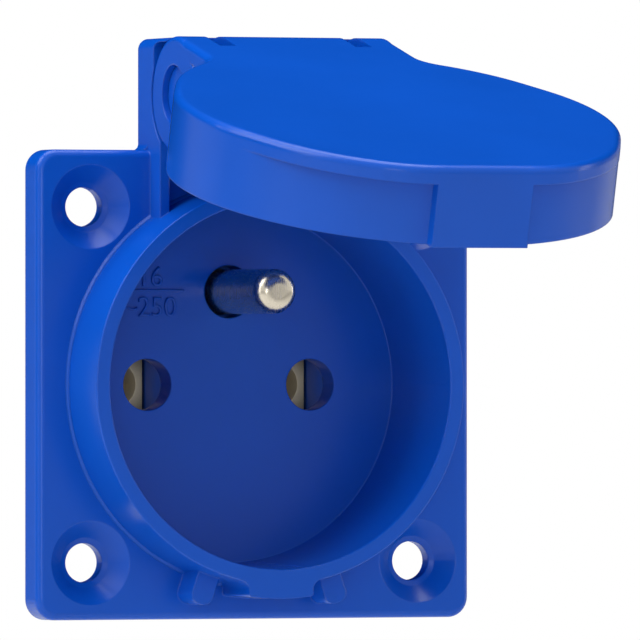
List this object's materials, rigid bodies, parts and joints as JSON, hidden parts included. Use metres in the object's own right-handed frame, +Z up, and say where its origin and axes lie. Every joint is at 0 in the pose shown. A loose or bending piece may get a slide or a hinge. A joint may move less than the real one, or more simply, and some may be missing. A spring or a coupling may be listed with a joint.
{
  "type": "panel socket outlet",
  "caption": "Panel-mount mains socket: square screw flange, round collar and recess with an earth pin, and a hinged cover lid that swings up on a raised hinge block.",
  "frame": {"origin": "middle of the flange's back face, on the axis of the socket, where it seats on the panel", "axes": "+Z up, towards the hinge; +X to the right seen from the front; the plug comes in along +Y, and the front looks along -Y"},
  "size_m": [0.0502, 0.0936, 0.0622],
  "materials": {
    "housing_plastic": "moulded, satin, blue",
    "lid_plastic": "moulded, satin, bright blue",
    "black_rubber": "soft moulded rubber",
    "carrier_plastic": "moulded, dull, blue",
    "contact_brass": "tinned brass, dulled",
    "pin_nickel": "nickel plated, fine turned lines",
    "steel": "zinc plated"
  },
  "bodies": {
    "body": {"housing": "housing_plastic", "flange_gasket": "black_rubber", "contact_carrier": "carrier_plastic", "line_contact": "contact_brass", "neutral_contact": "contact_brass", "line_spring": "steel", "neutral_spring": "steel", "earth_pin": "pin_nickel", "earth_terminal": "contact_brass", "earth_washer": "steel", "earth_nut": "steel", "line_clamp": "steel", "neutral_clamp": "steel", "earth_clamp": "steel", "terminal_screws": "steel", "rear_cover": "carrier_plastic", "cover_screws": "steel"},
    "lid": {"lid": "lid_plastic", "lid_gasket": "black_rubber", "hinge_axle": "steel", "hinge_plugs": "lid_plastic"}
  },
  "joints": [
    {"name": "lid_hinge", "type": "hinge", "parent": "body", "child": "lid", "pos_m": [0, -0.0102, 0.03095], "axis": [1, 0, 0], "range_deg": [-30, 75]}
  ]
}
